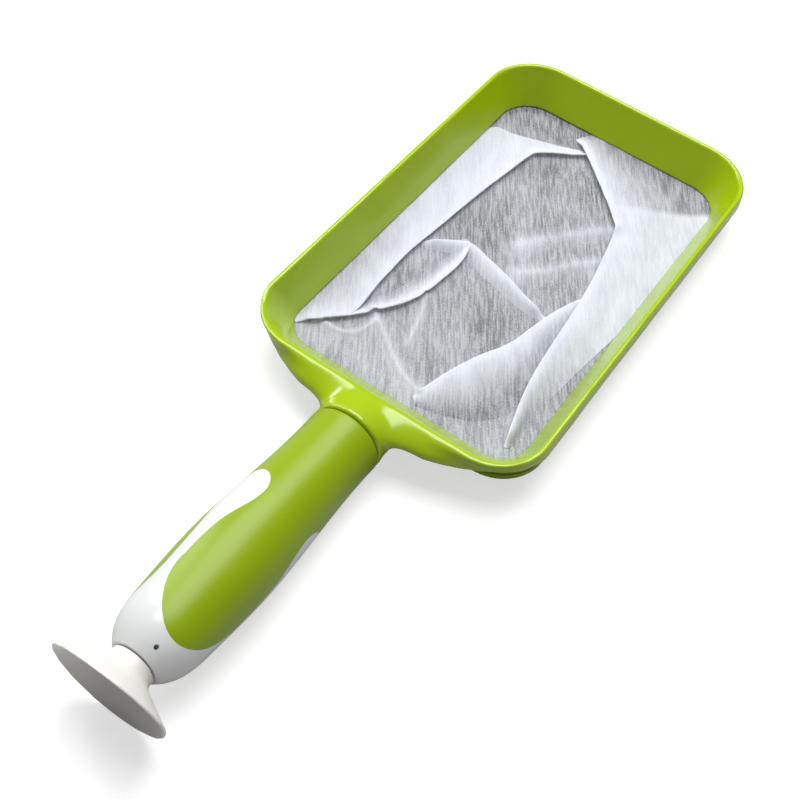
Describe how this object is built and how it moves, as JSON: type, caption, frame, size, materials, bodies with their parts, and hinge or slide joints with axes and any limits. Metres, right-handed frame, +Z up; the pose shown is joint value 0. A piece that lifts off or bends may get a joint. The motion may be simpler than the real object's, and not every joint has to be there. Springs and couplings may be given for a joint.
{
  "type": "leaf skimmer net",
  "caption": "Hand-held leaf skimmer with a shallow funnel-shaped net frame, a fine fabric net, a soft-grip handle and a suction cup on the handle's end.",
  "frame": {"origin": "centre of the skimmer's footprint, on the floor it lies on", "axes": "+Y along the skimmer from the suction cup to the net's far end, +Z up out of the net's mouth, +X across the net"},
  "size_m": [0.1228, 0.3434, 0.0434],
  "materials": {
    "frame_plastic": "glossy moulded green plastic",
    "ring_plastic": "glossy moulded green plastic",
    "hem_fabric": "folded white mesh fabric",
    "net_fabric": "fine white mesh fabric",
    "core_plastic": "satin white moulded plastic",
    "grip_rubber": "soft satin green grip",
    "cup_rubber": "soft milky white vinyl"
  },
  "bodies": {
    "skimmer": {"net_frame": "frame_plastic", "net_clamp_ring": "ring_plastic", "net_hem": "hem_fabric", "net_bag": "net_fabric", "handle_core": "core_plastic", "grip_sleeve": "grip_rubber"},
    "cup": {"suction_cup": "cup_rubber"}
  },
  "joints": [
    {"name": "cup_swivel", "type": "hinge", "parent": "skimmer", "child": "cup", "pos_m": [0, -0.15853, 0.02104], "axis": [0, -0.9984, 0.0565], "continuous": true}
  ]
}
